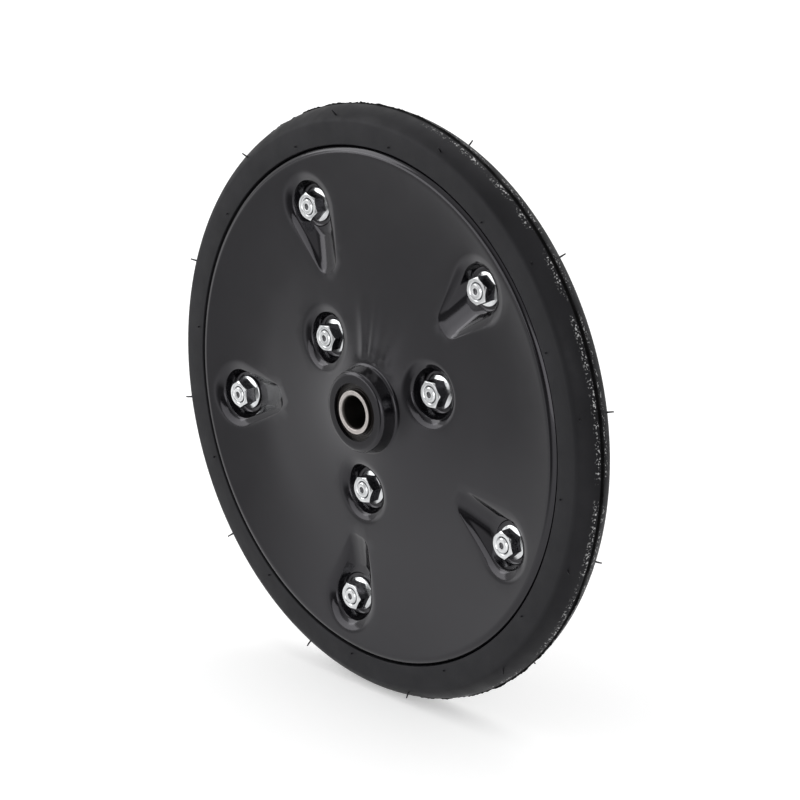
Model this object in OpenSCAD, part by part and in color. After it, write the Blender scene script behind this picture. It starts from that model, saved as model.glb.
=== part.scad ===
// Press wheel for a planter row unit: a rubber tyre clamped between two pressed steel halves that
// are bolted back to back, on two sealed ball bearings. The wheel turns about Y, its front faces -Y,
// and the origin is the wheel's centre. All lengths are in millimetres.

/* [Tyre] */
// Outside diameter over the crown
tyre_d = 304.8; // [280:0.1:340]
// Width across the sidewalls
tyre_w = 25.4; // [24.2:0.1:30]
// Height of the rubber outside the pressed halves, up to the crown
sidewall_h = 19.4; // [17:0.1:26]
// Radial drop from the crown to the edge of the flat sidewall
shoulder_drop = 7.9; // [5:0.1:10]
// Axial set-back of the sidewall's outer edge
sidewall_lean = 1.4; // [0.4:0.1:3]
// Bevel on the sidewall's inner edge
tyre_bevel = 0.9; // [0.3:0.1:1.5]
// Fullness of the curve from shoulder to crown
crown_fullness = 0.45; // [0.3:0.01:0.6]
// Diameter of the ring-shaped air chamber
chamber_d = 10; // [6:0.1:12]
// Bevel on the bead's corners
bead_bevel = 1.6; // [0.8:0.1:2.5]

/* [Pressed halves] */
// Width of the wheel over the pressed faces, at the rim
rim_w = 24.1; // [22:0.1:27]
// Thickness of the steel sheet
sheet_t = 2; // [1.5:0.1:2.5]
// Outside radius of the turned-in edge
edge_round = 3; // [2.6:0.1:5]
// Gap between the two turned-in edges, where the tyre's neck passes
edge_gap = 10; // [6:0.1:14]
// How far each face rises from the rim to the hub
face_rise = 0.45; // [0:0.05:2]

/* [Hub] */
// Width over the two hub lips
hub_w = 43.4; // [40:0.1:50]
// Diameter of the opening in each hub lip
lip_d = 30; // [27:0.1:34]
// Outside radius of the cup's shoulder
cup_round = 2.2; // [1:0.1:3]
// Radius where the cup meets the face
cup_fillet = 3; // [1:0.1:5]

/* [Pockets] */
// Number of bolts near the rim
rim_bolts = 5; // [3:1:8]
// Distance of the rim bolts from the edge of the halves
rim_bolt_inset = 26.4; // [24:0.1:34]
// Number of bolts near the hub
hub_bolts = 3; // [3:1:6]
// Diameter of the hub bolts' circle
hub_pcd = 91.6; // [86:0.1:100]
// Direction of the first bolt of both circles, from +X towards +Z
first_bolt = -99; // [-180:1:180]
// Diameter of a pocket's floor
floor_d = 20.4; // [19:0.1:23]
// Diameter of a pocket's mouth
mouth_d = 28; // [25:0.1:30]
// Length of a rim pocket's ramp, from the bolt towards the hub
ramp_l = 34; // [25:0.5:38]
// Width of the ramp's shallow end
ramp_w = 12; // [8:0.1:16]

/* [Fasteners] */
// Thread diameter
bolt_d = 7.94; // [6:0.01:8]
// Width across the flats of nuts and bolt heads
flats_w = 12.7; // [11:0.1:13]
// Diameter of the flanges
flange_d = 17.2; // [16:0.1:18]
// Thickness of the flange's edge
flange_edge = 1.1; // [0.6:0.1:1.5]
// Height where the flange's cone meets the hexagon
flange_h = 2.9; // [2:0.1:3.4]
// Height of a nut
nut_h = 8; // [6:0.1:8.5]
// Height of a bolt head
head_h = 7.2; // [5:0.1:8.5]
// How far a bolt's end stands out of its nut
bolt_proud = 0.55; // [0.2:0.05:2]
// Bevel on a bolt's tip
tip_bevel = 0.8; // [0.3:0.1:1.5]
// Angle of the bevel on a hexagon's corners
hex_bevel = 30; // [15:1:40]

/* [Bearings] */
// Bore for the axle bolt
bore_d = 16.26; // [15:0.01:17]
// Bevel at the mouth of the bore
bore_bevel = 0.8; // [0.3:0.05:1]
// Bevel on the outer edge of the inner rings
ring_bevel = 0.25; // [0.1:0.05:0.5]
// Outside diameter of the outer rings
bearing_d = 40; // [37:0.1:44]
// Width of the outer rings
bearing_w = 12; // [11.6:0.1:14]
// How far the inner rings stand out of the hub lips
ring_proud = 0.35; // [0.1:0.05:2]
// Diameter of the balls
ball_d = 6.75; // [6:0.01:7]
// How much the balls' circle is wider than the mean of the bore and the outside diameter
pitch_shift = 0.37; // [0:0.01:0.6]
// Number of balls in each bearing
balls = 8; // [6:1:9]
// Radius of the ball tracks, as a multiple of the balls' radius
track_ease = 1.04; // [1.02:0.01:1.08]
// Depth of the ball tracks below the ring shoulders
track_depth = 1.3; // [1:0.05:1.5]
// Step from each inner ring's shoulder down to its neck
neck_step = 0.8; // [0.4:0.05:1]
// Radial thickness of the cages
cage_t = 2.4; // [1.6:0.1:2.8]
// Cage behind the balls
cage_back = 0.65; // [0.4:0.05:0.7]
// Cage in front of the balls' centres
cage_front = 1.6; // [1:0.1:2.2]
// Thickness of the seals
seal_t = 1; // [0.6:0.05:1.1]
// Set-back of the seals from the outer rings' ends
seal_inset = 0.35; // [0.2:0.05:0.5]
// Depth of the seals' seats in the outer rings
seal_bite = 1; // [0.5:0.05:1.2]

/* [Clearances] */
// Between a bearing and its cup
seat_clear = 0.05; // [0.02:0.01:0.1]
// Between a ball and its tracks
ball_clear = 0.05; // [0.03:0.01:0.1]
// Between a ball and its cage
cage_clear = 0.12; // [0.08:0.01:0.2]
// Between a seal's lip and the ring inside it
lip_clear = 0.08; // [0.05:0.01:0.1]
// Between parts that turn past each other, along the axle
run_clear = 0.3; // [0.2:0.05:0.4]
// Between a bolt and its holes
hole_clear = 0.3; // [0.2:0.05:0.5]
// Between a bolt's thread and its nut's
thread_clear = 0.05; // [0.03:0.01:0.1]
// Between the tyre and the steel
tyre_clear = 0.15; // [0.1:0.05:0.3]
// Between the tyre's bead and the pockets
bead_clear = 0.6; // [0.3:0.1:1.5]

/* [Hidden] */
$fn = 96;
// Overshoot of every cut, so that no cut ends on a face
over = 1;
arc_steps = 8;
crown_steps = 12;

// Heights are measured outwards from the wheel's middle plane
crown_r = tyre_d / 2;
rim_r = crown_r - sidewall_h;
rim_bolt_r = rim_r - rim_bolt_inset;
hub_bolt_r = hub_pcd / 2;
rim_face = rim_w / 2;
hub_face = rim_face + face_rise;
lip_face = hub_w / 2;
ring_face = lip_face + ring_proud;
edge_end = edge_gap / 2;

seat_r = bearing_d / 2 + seat_clear;
cup_r = seat_r + sheet_t;
lip_r = lip_d / 2;

// The bearing sits against the inside of the hub lip
bearing_out = lip_face - sheet_t;
bearing_mid = bearing_out - bearing_w / 2;
bearing_in = bearing_out - bearing_w;
ball_r = ball_d / 2;
track_r = ball_r * track_ease;
bore_r = bore_d / 2;
pitch_r = (bearing_d + bore_d) / 4 + pitch_shift / 2;
inner_shoulder_r = pitch_r - ball_r + track_depth;
outer_shoulder_r = pitch_r + ball_r - track_depth;
neck_r = inner_shoulder_r - neck_step;
seal_seat_r = outer_shoulder_r + seal_bite;
seal_depth = seal_inset + seal_t;
shoulder_half = bearing_w / 2 - seal_depth - run_clear;

// A pocket's wall leans by this slope, and its floor lies on the other half's floor
floor_r = floor_d / 2;
mouth_r = mouth_d / 2;
pocket_depth = rim_face - sheet_t;
wall_slope = (mouth_r - floor_r) / pocket_depth;
wall_stretch = sqrt(1 + wall_slope * wall_slope);
ramp_slope = pocket_depth / ramp_l;
ramp_stretch = sqrt(1 + ramp_slope * ramp_slope);
ramp_taper = (ramp_w / 2 - floor_r) / ramp_l;

bolt_r = bolt_d / 2;
hole_r = bolt_r + hole_clear;
bolt_l = 2 * sheet_t + nut_h + bolt_proud;
hex_r = flats_w / sqrt(3);

side_r = rim_r + tyre_clear;
shoulder_r = crown_r - shoulder_drop;
shoulder_h = tyre_w / 2 - sidewall_lean;
bead_out_r = rim_r - sheet_t - tyre_clear;
bead_in_r = rim_bolt_r + mouth_r + sheet_t * wall_stretch + bead_clear;
bead_h = rim_face - sheet_t - tyre_clear;
neck_h = edge_end - tyre_clear;
chamber_r = (rim_r + crown_r) / 2;

rim_angles = [for (i = [0 : rim_bolts - 1]) first_bolt + i * 360 / rim_bolts];
hub_angles = [for (i = [0 : hub_bolts - 1]) first_bolt + i * 360 / hub_bolts];
ball_angles = [for (i = [0 : balls - 1]) i * 360 / balls];

paint = [0.09, 0.09, 0.095];
rubber = [0.06, 0.06, 0.065];
zinc = [0.78, 0.79, 0.8];
bearing_steel = [0.72, 0.7, 0.68];
seal_rubber = [0.1, 0.07, 0.06];
cage_plastic = [0.32, 0.28, 0.2];

function numbered(name, count) = [for (i = [1 : count]) str(name, i)];

// Points along an arc round c, from angle a to angle b
function arc(c, r, a, b) =
    [for (i = [0 : arc_steps]) let (t = a + (b - a) * i / arc_steps) c + r * [cos(t), sin(t)]];

// Points along a cubic curve from p to q that leaves and arrives towards the corner k
function corner_curve(p, k, q, fullness) =
    let (a = p + fullness * (k - p), b = q + fullness * (k - q))
    [for (i = [0 : crown_steps])
        let (t = i / crown_steps, s = 1 - t)
        s * s * s * p + 3 * s * s * t * a + 3 * s * t * t * b + t * t * t * q];

function mirrored(points) =
    [for (i = [len(points) - 1 : -1 : 0]) [points[i][0], -points[i][1]]];

// Turns heights above the middle plane into places towards the front, or towards the rear
module to_front() {
    rotate([90, 0, 0]) children();
}

module to_rear() {
    mirror([0, 1, 0]) to_front() children();
}

// The pocket round one bolt, as a tool: grow is zero for its outside and the sheet for its inside
module bowl(grow) {
    low = sheet_t - grow;
    high = hub_face + over;
    low_r = floor_r + grow * (wall_stretch - wall_slope);
    translate([0, 0, low])
        cylinder(h = high - low, r1 = low_r, r2 = low_r + (high - low) * wall_slope);
}

// The ramp from a rim pocket's floor up to the face, running towards the hub along +X
module ramp(grow) {
    side_tilt = ramp_taper - wall_slope * ramp_slope;
    side_grow = grow * sqrt(1 + wall_slope * wall_slope + side_tilt * side_tilt);
    low = sheet_t - grow * ramp_stretch;
    high = hub_face + over;
    reach = (high - low) / ramp_slope;
    low_w = floor_r + side_grow - wall_slope * grow * ramp_stretch;
    high_w = low_w + wall_slope * (high - low);
    end_w = low_w + ramp_taper * reach;
    polyhedron(
        points = [
            [0, -low_w, low], [0, low_w, low], [0, -high_w, high], [0, high_w, high],
            [reach, -end_w, high], [reach, end_w, high]
        ],
        faces = [[0, 1, 3, 2], [0, 4, 5, 1], [2, 3, 5, 4], [0, 2, 4], [1, 5, 3]]
    );
}

module rim_pockets(grow) {
    for (a = rim_angles)
        rotate([0, 0, a]) translate([rim_bolt_r, 0, 0]) {
            bowl(grow);
            rotate([0, 0, 180]) ramp(grow);
        }
}

module hub_pockets(grow) {
    for (a = hub_angles)
        rotate([0, 0, a]) translate([hub_bolt_r, 0, 0]) bowl(grow);
}

module bolt_holes() {
    for (a = rim_angles)
        rotate([0, 0, a]) translate([rim_bolt_r, 0, -over])
            cylinder(h = sheet_t + 2 * over, r = hole_r);
    for (a = hub_angles)
        rotate([0, 0, a]) translate([hub_bolt_r, 0, -over])
            cylinder(h = sheet_t + 2 * over, r = hole_r);
}

// All that lies under the outside of a pressed half
module half_outside() {
    rotate_extrude()
        polygon(concat(
            [[lip_r, 0], [lip_r, lip_face]],
            arc([cup_r - cup_round, lip_face - cup_round], cup_round, 90, 0),
            arc([cup_r + cup_fillet, hub_face + cup_fillet], cup_fillet, 180, 270),
            arc([rim_r - edge_round, rim_face - edge_round], edge_round, 90, 0),
            [[rim_r, 0]]
        ));
}

// All that lies under its inside
module half_inside() {
    inside_fillet = cup_fillet + sheet_t;
    inside_round = edge_round - sheet_t;
    rotate_extrude()
        polygon(concat(
            [[0, -over], [0, bearing_out], [seat_r, bearing_out]],
            arc([seat_r + inside_fillet, hub_face - sheet_t + inside_fillet], inside_fillet, 180, 270),
            arc([rim_r - edge_round, rim_face - edge_round], inside_round, 90, 0),
            [[rim_r - sheet_t, edge_end], [rim_r + over, edge_end], [rim_r + over, -over]]
        ));
}

module pressed_half() {
    difference() {
        half_outside();
        rim_pockets(0);
        hub_pockets(0);
        difference() {
            half_inside();
            rim_pockets(sheet_t);
            hub_pockets(sheet_t);
        }
        bolt_holes();
    }
}

module front_half() {
    color(paint) to_front() pressed_half();
}

module rear_half() {
    color(paint) to_rear() pressed_half();
}

// Tyre section: a body outside the rim, a neck between the turned-in edges and a bead inside them
module tyre() {
    side = tyre_w / 2;
    side_start = side_r + tyre_bevel;
    lean_slope = sidewall_lean / (shoulder_r - side_start);
    corner = [crown_r, shoulder_h - lean_slope * shoulder_drop];
    half = concat(
        [[bead_in_r, bead_h - bead_bevel], [bead_in_r + bead_bevel, bead_h]],
        [[bead_out_r - bead_bevel, bead_h], [bead_out_r, bead_h - bead_bevel]],
        [[bead_out_r, neck_h], [side_r, neck_h]],
        [[side_r, side - tyre_bevel], [side_start, side]],
        corner_curve([shoulder_r, shoulder_h], corner, [crown_r, 0], crown_fullness)
    );
    under = [for (i = [0 : len(half) - 2]) half[i]];
    color(rubber) to_front()
        difference() {
            rotate_extrude() polygon(concat(half, mirrored(under)));
            rotate_extrude() translate([chamber_r, 0]) circle(d = chamber_d);
        }
}

// A hexagon on a round flange, with its far corners bevelled; height is from the flange's base
module flanged_hexagon(height) {
    rotate_extrude()
        polygon([
            [0, 0], [flange_d / 2, 0], [flange_d / 2, flange_edge],
            [flats_w / 2, flange_h], [0, flange_h]
        ]);
    intersection() {
        cylinder(h = height, r = hex_r, $fn = 6);
        rotate_extrude()
            polygon([
                [0, 0], [hex_r, 0], [hex_r, height - (hex_r - flats_w / 2) * tan(hex_bevel)],
                [flats_w / 2, height], [0, height]
            ]);
    }
}

// Nuts lie on the front pockets' floors, and bolt heads on the rear ones
module nut() {
    color(zinc) to_front() translate([0, 0, sheet_t])
        difference() {
            flanged_hexagon(nut_h);
            translate([0, 0, -over]) cylinder(h = nut_h + 2 * over, r = bolt_r + thread_clear);
        }
}

module bolt() {
    color(zinc) {
        to_rear() translate([0, 0, sheet_t]) flanged_hexagon(head_h);
        to_front() translate([0, 0, -sheet_t])
            rotate_extrude()
                polygon([
                    [0, 0], [bolt_r, 0], [bolt_r, bolt_l - tip_bevel],
                    [bolt_r - tip_bevel, bolt_l], [0, bolt_l]
                ]);
    }
}

module on_circle(r, angle) {
    rotate([0, -angle, 0]) translate([r, 0, 0]) children();
}

// Bearing parts, at their heights above the middle plane
module outer_ring() {
    seat = bearing_w / 2 - seal_depth;
    half = bearing_w / 2;
    color(bearing_steel) translate([0, 0, bearing_mid])
        difference() {
            rotate_extrude()
                polygon([
                    [outer_shoulder_r, -seat], [seal_seat_r, -seat], [seal_seat_r, -half],
                    [bearing_d / 2, -half], [bearing_d / 2, half], [seal_seat_r, half],
                    [seal_seat_r, seat], [outer_shoulder_r, seat]
                ]);
            rotate_extrude()
                translate([pitch_r + ball_r + ball_clear - track_r, 0]) circle(r = track_r);
        }
}

module inner_ring() {
    color(bearing_steel)
        difference() {
            rotate_extrude()
                polygon([
                    [bore_r, bearing_in], [neck_r, bearing_in],
                    [neck_r, bearing_mid - shoulder_half],
                    [inner_shoulder_r, bearing_mid - shoulder_half],
                    [inner_shoulder_r, bearing_mid + shoulder_half],
                    [neck_r, bearing_mid + shoulder_half],
                    [neck_r, ring_face - ring_bevel], [neck_r - ring_bevel, ring_face],
                    [bore_r + bore_bevel, ring_face], [bore_r, ring_face - bore_bevel]
                ]);
            rotate_extrude()
                translate([pitch_r - ball_r - ball_clear + track_r, bearing_mid]) circle(r = track_r);
        }
}

module ball() {
    color(bearing_steel) translate([pitch_r, 0, bearing_mid]) sphere(r = ball_r);
}

module cage() {
    back = ball_r + cage_back;
    color(cage_plastic)
        difference() {
            rotate_extrude()
                translate([pitch_r - cage_t / 2, bearing_mid - back]) square([cage_t, back + cage_front]);
            for (a = ball_angles)
                rotate([0, 0, a]) translate([pitch_r, 0, bearing_mid]) sphere(r = ball_r + cage_clear);
        }
}

// side is 1 for the seal at the hub lip and -1 for the one inside
module seal(side) {
    color(seal_rubber) translate([0, 0, bearing_mid + side * (bearing_w / 2 - seal_inset - seal_t / 2)])
        rotate_extrude()
            translate([neck_r + lip_clear, -seal_t / 2])
                square([seal_seat_r - neck_r - 2 * lip_clear, seal_t]);
}

module spacer(r_in, r_out) {
    color(bearing_steel) to_front() translate([0, 0, -bearing_in])
        rotate_extrude() translate([r_in, 0]) square([r_out - r_in, 2 * bearing_in]);
}

tyre();
front_half();
rear_half();
for (i = [1 : rim_bolts]) {
    on_circle(rim_bolt_r, rim_angles[i - 1]) bolt();
    on_circle(rim_bolt_r, rim_angles[i - 1]) nut();
}
for (i = [1 : hub_bolts]) {
    on_circle(hub_bolt_r, hub_angles[i - 1]) bolt();
    on_circle(hub_bolt_r, hub_angles[i - 1]) nut();
}
to_front() outer_ring();  // front_outer_ring
to_front() inner_ring();  // front_inner_ring
to_front() cage();  // front_cage
to_front() seal(1);  // front_outer_seal
to_front() seal(-1);  // front_inner_seal
to_rear() outer_ring();  // rear_outer_ring
to_rear() inner_ring();  // rear_inner_ring
to_rear() cage();  // rear_cage
to_rear() seal(1);  // rear_outer_seal
to_rear() seal(-1);  // rear_inner_seal
for (i = [1 : balls]) {
    to_front() rotate([0, 0, ball_angles[i - 1]]) ball();
    to_rear() rotate([0, 0, ball_angles[i - 1]]) ball();
}
spacer(bore_r, neck_r);  // inner_spacer
spacer(outer_shoulder_r, bearing_d / 2);  // outer_spacer
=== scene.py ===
import math

import bmesh
import bpy
from mathutils import Matrix, Vector, geometry, noise


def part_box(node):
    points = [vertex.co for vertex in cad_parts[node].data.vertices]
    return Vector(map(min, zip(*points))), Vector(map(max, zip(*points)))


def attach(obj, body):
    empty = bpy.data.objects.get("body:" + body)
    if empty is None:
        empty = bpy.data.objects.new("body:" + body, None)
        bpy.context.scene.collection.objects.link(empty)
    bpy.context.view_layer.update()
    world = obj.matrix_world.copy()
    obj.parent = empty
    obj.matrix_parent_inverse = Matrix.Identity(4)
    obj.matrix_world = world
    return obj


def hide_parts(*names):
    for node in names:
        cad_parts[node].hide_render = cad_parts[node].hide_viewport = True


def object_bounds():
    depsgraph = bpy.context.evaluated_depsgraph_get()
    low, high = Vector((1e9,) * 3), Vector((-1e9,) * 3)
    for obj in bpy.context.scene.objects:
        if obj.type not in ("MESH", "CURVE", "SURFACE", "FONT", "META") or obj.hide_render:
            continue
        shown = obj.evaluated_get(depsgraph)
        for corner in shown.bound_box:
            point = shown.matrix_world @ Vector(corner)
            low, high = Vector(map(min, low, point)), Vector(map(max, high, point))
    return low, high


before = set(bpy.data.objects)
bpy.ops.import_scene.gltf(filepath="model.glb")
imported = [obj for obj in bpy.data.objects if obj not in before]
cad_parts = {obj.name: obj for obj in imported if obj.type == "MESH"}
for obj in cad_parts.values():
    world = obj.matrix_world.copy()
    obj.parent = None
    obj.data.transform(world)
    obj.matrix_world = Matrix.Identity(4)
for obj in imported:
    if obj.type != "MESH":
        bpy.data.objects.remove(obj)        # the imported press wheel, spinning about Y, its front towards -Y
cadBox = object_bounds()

mm = 0.001
fullTurn = 2 * math.pi
cutOver = 1              # how far a cutting or joined solid runs past the face it meets


# helpers for modelling
def startFresh():
    if bpy.context.mode != "OBJECT":
        bpy.ops.object.mode_set(mode="OBJECT")
    bpy.ops.object.select_all(action="DESELECT")


def pickOnly(obj):
    startFresh()
    obj.select_set(True)
    bpy.context.view_layer.objects.active = obj


def settle(obj, name):
    # the place goes into the mesh, so the object ends at the origin, unturned
    pickOnly(obj)
    bpy.ops.object.transform_apply(location=True, rotation=True, scale=True)
    obj.name = name
    obj.data.name = name
    return obj


def tidyMesh(obj, gap=0.002):
    # merge doubles, then turn every face outwards
    pickOnly(obj)
    bpy.ops.object.mode_set(mode="EDIT")
    bpy.ops.mesh.select_all(action="SELECT")
    bpy.ops.mesh.remove_doubles(threshold=gap * mm)
    bpy.ops.mesh.normals_make_consistent(inside=False)
    bpy.ops.object.mode_set(mode="OBJECT")


def joinPieces(pieces, name):
    startFresh()
    for piece in pieces:
        piece.select_set(True)
    bpy.context.view_layer.objects.active = pieces[0]
    bpy.ops.object.join()
    return settle(pieces[0], name)


def drawOutline(points):
    # one vertex, then extruded from point to point
    startFresh()
    bpy.ops.mesh.primitive_plane_add(size=mm, location=points[0])
    obj = bpy.context.object
    bpy.ops.object.mode_set(mode="EDIT")
    bpy.ops.mesh.merge(type="CENTER")
    for here, there in zip(points, points[1:]):
        bpy.ops.mesh.extrude_vertices_move(TRANSFORM_OT_translate={"value": there - here})
    return obj


def spinProfile(name, profile, steps):
    # profile points are (radius, height towards the front) in millimetres
    obj = drawOutline([Vector((r * mm, -h * mm, 0)) for r, h in profile])
    bpy.ops.mesh.select_all(action="SELECT")
    bpy.ops.mesh.spin(steps=steps, angle=fullTurn, center=(0, 0, 0), axis=(0, 1, 0))
    settle(obj, name)
    tidyMesh(obj)
    return obj


def arcPoints(center, radius, start, end, steps):
    turns = [math.radians(start + (end - start) * i / steps) for i in range(steps + 1)]
    return [(center[0] + radius * math.cos(t), center[1] + radius * math.sin(t)) for t in turns]


def copyPiece(source, name, turn, place):
    # a copy with its own mesh, turned about Y and moved
    pickOnly(source)
    bpy.ops.object.duplicate()
    twin = bpy.context.object
    twin.rotation_euler = (0, turn, 0)
    twin.location = place
    return settle(twin, name)


def mirrorPiece(front, name):
    # the same piece on the wheel's rear side
    rear = copyPiece(front, name, 0.0, (0, 0, 0))
    rear.scale = (1, -1, 1)
    settle(rear, name)
    tidyMesh(rear)
    return rear


def useModifier(obj, kind, **options):
    pickOnly(obj)
    modifier = obj.modifiers.new(kind.lower(), kind)
    for option, value in options.items():
        setattr(modifier, option, value)
    bpy.ops.object.modifier_apply(modifier=modifier.name)


def joinSolids(first, second, operation):
    useModifier(first, "BOOLEAN", operation=operation, solver="EXACT", object=second)
    bpy.data.objects.remove(second)


def smoothByAngle(obj, degrees):
    pickOnly(obj)
    bpy.ops.object.shade_smooth_by_angle(angle=math.radians(degrees))


def finishPiece(piece, body, slotName, material, *nodes):
    piece.data.materials.clear()
    piece.data.materials.append(material)
    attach(piece, body)
    if nodes:
        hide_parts(*nodes)


def asShare(value):
    return min(max(value, 0), 1)


# helpers for materials
def startFinish(name, roughness, metallic=0.0, ior=1.5):
    material = bpy.data.materials.new(name)
    material.use_nodes = True
    nodes = material.node_tree.nodes
    shader = nodes["Principled BSDF"]
    shader.inputs["Roughness"].default_value = roughness
    shader.inputs["Metallic"].default_value = metallic
    shader.inputs["IOR"].default_value = ior
    return material, nodes, material.node_tree.links, shader


def addNode(nodes, kind, **values):
    node = nodes.new(kind)
    for key, value in values.items():
        if key in node.inputs:
            node.inputs[key].default_value = value
        else:
            setattr(node, key, value)
    return node


def addNoise(nodes, links, vector, scale, detail):
    node = addNode(nodes, "ShaderNodeTexNoise", Scale=scale, Detail=detail)
    links.new(vector, node.inputs["Vector"])
    return node.outputs["Fac"]


def addRamp(nodes, links, factor, stops):
    node = nodes.new("ShaderNodeValToRGB")
    ramp = node.color_ramp
    while len(ramp.elements) < len(stops):
        ramp.elements.new(0.5)
    for element, (position, color) in zip(ramp.elements, stops):
        element.position = position
        element.color = (*color, 1.0)
    links.new(factor, node.inputs["Fac"])
    return node.outputs["Color"]


def addMath(nodes, links, operation, first, second=None):
    node = addNode(nodes, "ShaderNodeMath", operation=operation)
    for socket, value in zip(node.inputs, (first, second)):
        if value is None:
            continue
        if isinstance(value, (int, float)):
            socket.default_value = value
        else:
            links.new(value, socket)
    return node.outputs[0]


def addMix(nodes, links, factor, first, second):
    node = addNode(nodes, "ShaderNodeMix", data_type="RGBA")
    links.new(factor, node.inputs["Factor"])
    for socket, value in ((node.inputs[6], first), (node.inputs[7], second)):    # the colour sockets
        if isinstance(value, tuple):
            socket.default_value = (*value, 1.0)
        else:
            links.new(value, socket)
    return node.outputs[2]


def addRange(nodes, links, value, low, high, toLow, toHigh):
    node = nodes.new("ShaderNodeMapRange")
    links.new(value, node.inputs["Value"])
    for socket, number in zip(node.inputs[1:5], (low, high, toLow, toHigh)):
        socket.default_value = number
    return node.outputs["Result"]


def addBump(nodes, links, shader, height, distance, strength):
    node = addNode(nodes, "ShaderNodeBump", Strength=strength, Distance=distance)
    links.new(height, node.inputs["Height"])
    links.new(node.outputs["Normal"], shader.inputs["Normal"])


def grey(level):
    return (level, level, level)


# camera at the photograph's place
view = {
    "target": (0, -12.05, 0),
    "azimuth": 48.411,
    "elevation": 17.094,
    "distance": 1630.1,
    "aimRight": 15.82,
    "aimUp": 4.27,
    "lens": 146.3,
    "sensor": 36.0,
    "clip": (0.05, 50),
}


def placeCamera():
    a = math.radians(view["azimuth"])
    e = math.radians(view["elevation"])
    back = Vector((math.sin(a) * math.cos(e), -math.cos(a) * math.cos(e), math.sin(e)))
    right = Vector((math.cos(a), math.sin(a), 0))
    up = back.cross(right)
    target = Vector(view["target"]) * mm
    aim = target + right * view["aimRight"] * mm + up * view["aimUp"] * mm
    startFresh()
    bpy.ops.object.camera_add(location=target + back * view["distance"] * mm)
    camera = bpy.context.object
    camera.rotation_euler = (aim - camera.location).to_track_quat("-Z", "Y").to_euler()
    camera.data.lens = view["lens"]
    camera.data.sensor_width = view["sensor"]
    camera.data.clip_start, camera.data.clip_end = view["clip"]
    bpy.context.scene.camera = camera


placeCamera()
print("camera placed")

# tyre
tyre = {
    "crownR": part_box("tyre")[1].x / mm,
    "beadR": 123.4,
    "beadHalf": 9.9,
    "beadOutR": 130.85,
    "beadRound": 1.6,
    "neckHalf": 4.85,
    "rimGapR": 133.05,
    "gapTop": 8.6,          # height where the groove beside the steel edge opens
    "gapLean": 0.25,
    "gapDrop": 1.2,
    "sidewallR": 133.3,     # inner edge of the sidewall, outside the groove
    "sidewallH": 11.2,
    "innerRound": 0.45,
    "shoulderLean": 0.12,
    "sidewallEndR": 144.5,
    "sidewallEndH": 11.3,
    "fullness": 0.45,
    "crownSteps": 22,
    "bandHalf": 1.0,        # raised band left by the mould's joint
    "bandLift": 0.1,
    "bandMargin": 0.25,
    "bandSink": 0.12,
    "bandFoot": 0.15,
    "bandBevel": 0.2,
    "flashHalf": 0.28,      # thin flash along the joint
    "flashLift": 0.55,
    "flashFoot": 0.15,
    "flashTip": 0.45,       # share of the flash's width at its crest
    "flashRagged": 0.75,
    "flashNotch": -0.5,     # the deepest notch, as a share of flashRagged
    "tears": ((22.0, 0.9), (95.0, 0.8)),    # fineness and share of the coarse and the fine tears
    "spinSteps": 720,
    "smooth": 35,
}
vents = {
    "count": 12,
    "shoulderPhase": 10.5,
    "shoulderR": 148.0,
    "shoulderH": 9.3,
    "shoulderTilt": 52,     # of the whisker, from the axle towards the crown
    "sidewallPhase": 24.0,
    "sidewallR": 136.6,
    "sidewallH": 11.5,
    "sidewallTilt": 0,
    "length": 3.6,
    "stubLength": 1.2,
    "rootR": 0.5,
    "tipR": 0.34,
    "sides": 7,
    "bends": (0.35, 0.65),  # shares of the length where the whisker can bend
    "sink": 0.4,
    "wander": 0.05,
    "spotSteps": (1.7, 3.1),
    "seed": 4.7,
    "secondSeed": (5, 5, 5),
}


def crownCurve():
    # cubic from the sidewall's edge to the crown, leaving and arriving towards the corner
    start = Vector((tyre["sidewallEndR"], tyre["sidewallEndH"]))
    end = Vector((tyre["crownR"], 0.0))
    corner = Vector((end.x, start.y - tyre["shoulderLean"] * (end.x - start.x)))
    pull = tyre["fullness"]
    a = start + pull * (corner - start)
    b = end + pull * (corner - end)
    points = []
    for i in range(tyre["crownSteps"] + 1):
        t = i / tyre["crownSteps"]
        s = 1 - t
        point = s * s * s * start + 3 * s * s * t * a + 3 * s * t * t * b + t * t * t * end
        points.append((point.x, point.y))
    return points


def tyreProfile():
    # the front half of the section, from the bead to the flash, then its mirror image
    beadR, beadOutR, bead = tyre["beadR"], tyre["beadOutR"], tyre["beadHalf"]
    rounding = tyre["beadRound"]
    front = [(beadR, 0), (beadR, bead - rounding), (beadR + rounding, bead)]
    front += [(beadOutR - rounding, bead), (beadOutR, bead - rounding), (beadOutR, tyre["neckHalf"])]
    gapR, wallR, wallH = tyre["rimGapR"], tyre["sidewallR"], tyre["sidewallH"]
    corner = tyre["innerRound"]
    front += [(gapR, tyre["neckHalf"]), (gapR, tyre["gapTop"])]
    front += [(wallR - tyre["gapLean"], wallH - tyre["gapDrop"])]
    front += arcPoints((wallR + corner, wallH - corner), corner, 160, 90, 4)
    crown, band, flash = tyre["crownR"], tyre["bandHalf"], tyre["flashHalf"]
    front += [p for p in crownCurve() if p[1] > band + tyre["bandMargin"]]
    front += [(crown - tyre["bandSink"], band + tyre["bandFoot"])]
    front += [(crown + tyre["bandLift"], band - tyre["bandBevel"])]
    front += [(crown + tyre["bandLift"], flash + tyre["flashFoot"])]
    front += [(crown + tyre["flashLift"], flash * tyre["flashTip"])]
    rear = [(r, -h) for r, h in reversed(front)]
    return front + rear


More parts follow.
